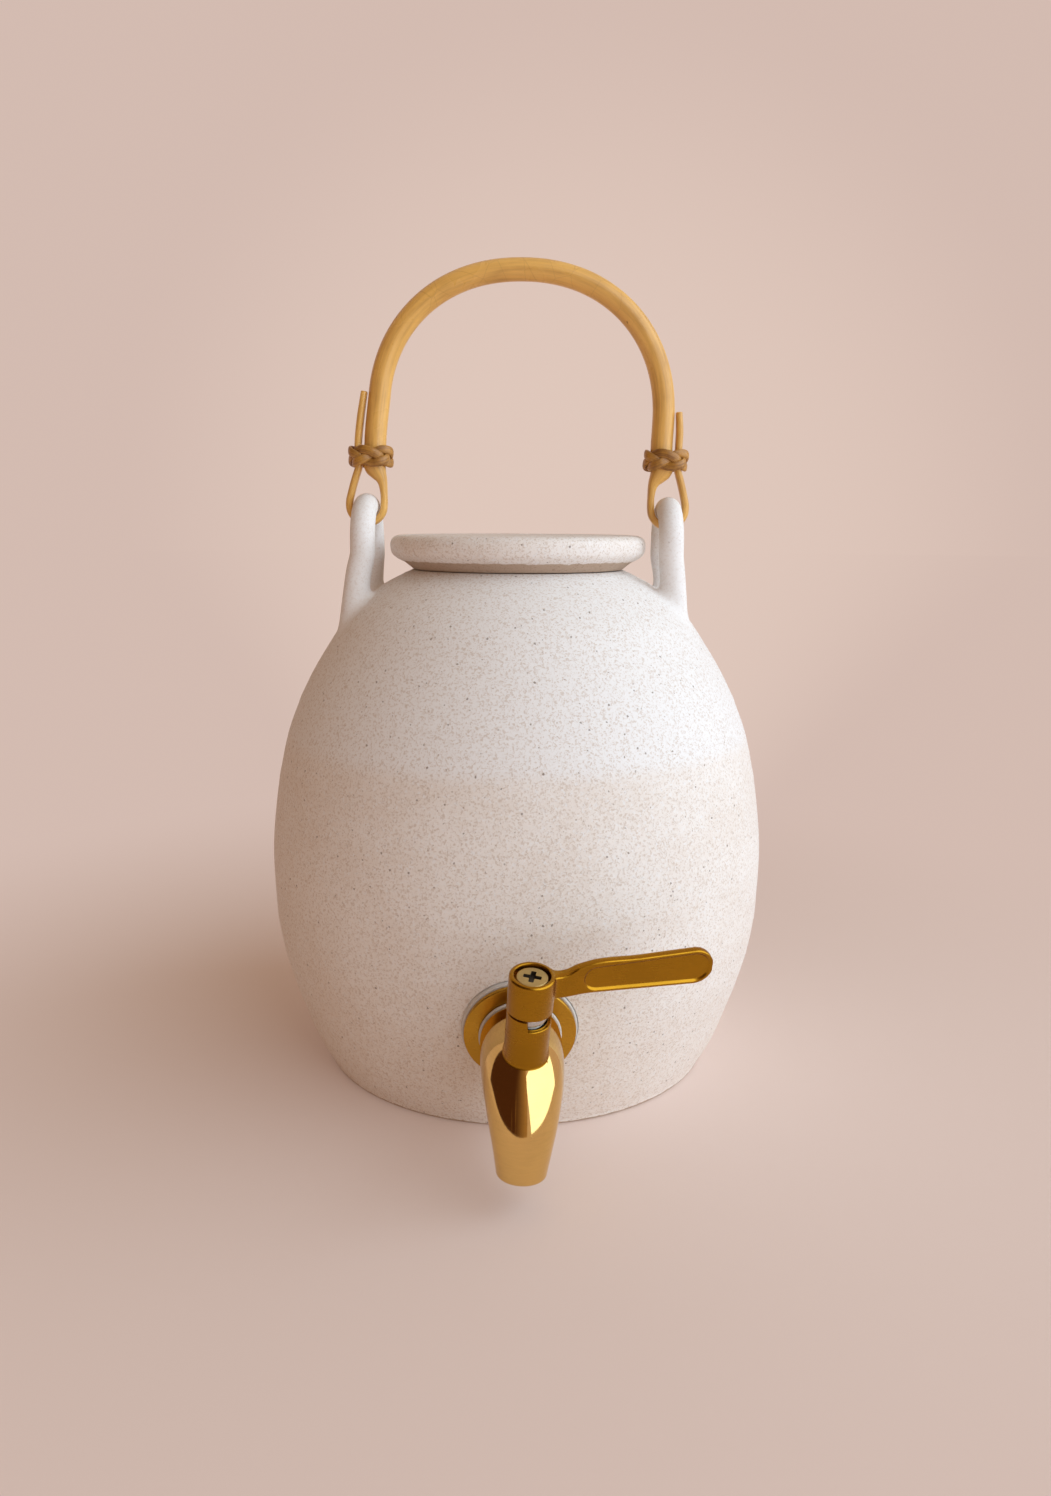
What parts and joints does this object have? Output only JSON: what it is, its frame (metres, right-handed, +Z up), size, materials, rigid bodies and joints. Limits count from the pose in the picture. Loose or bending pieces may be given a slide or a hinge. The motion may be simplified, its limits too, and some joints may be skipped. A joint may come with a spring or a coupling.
{
  "type": "stoneware water pot with tap",
  "caption": "Round-bellied stoneware water pot with a loose flat lid, a cane bail handle looped through two lugs, and a quarter-turn lever tap near the base.",
  "frame": {"origin": "centre of the base, on the surface the pot stands on", "axes": "+Z up, the tap faces -Y, the closed lever points to +X"},
  "size_m": [0.1994, 0.239, 0.3159],
  "materials": {
    "jar_glaze": "satin off-white stoneware glaze with fine tan and dark flecks",
    "lid_glaze": "satin off-white stoneware glaze with fine flecks, bare tan clay under the rim",
    "cane": "smooth honey cane",
    "rattan": "glossy split rattan",
    "polished_gold": "polished gold colour",
    "satin_gold": "satin gold colour",
    "screw_brass": "dull brass",
    "steel": "turned stainless steel",
    "silicone": "translucent white silicone",
    "seat_plastic": "plain white",
    "rubber": "black"
  },
  "bodies": {
    "pot": {"jar_body": "jar_glaze", "left_lug": "jar_glaze", "right_lug": "jar_glaze", "tap_body": "polished_gold", "flange_plate": "satin_gold", "body_seal": "silicone", "outer_seal": "silicone", "inner_seal": "silicone", "backing_washer": "steel", "lock_nut": "steel", "gland_ring": "steel", "inlet_seat": "seat_plastic"},
    "lever_assembly": {"lever": "satin_gold", "lever_screw": "screw_brass", "spring_washer": "steel", "thrust_washer": "seat_plastic", "valve_spindle": "steel", "upper_o_ring": "rubber", "lower_o_ring": "rubber"},
    "handle": {"handle_cane": "cane", "left_binding": "rattan", "right_binding": "rattan"},
    "lid": {"lid": "lid_glaze"}
  },
  "joints": [
    {"name": "lever_turn", "type": "hinge", "parent": "pot", "child": "lever_assembly", "pos_m": [0.00328, -0.11914, 0.03969], "axis": [0.0656, -0.2289, 0.9712], "range_deg": [-90, 0]},
    {"name": "handle_swing", "type": "hinge", "parent": "pot", "child": "handle", "pos_m": [0, 0, 0.208], "axis": [1, 0, 0], "range_deg": [-75, 75]},
    {"name": "lid_lift", "type": "slide", "parent": "pot", "child": "lid", "axis": [0, 0, 1], "range_m": [0, 0.02]}
  ]
}
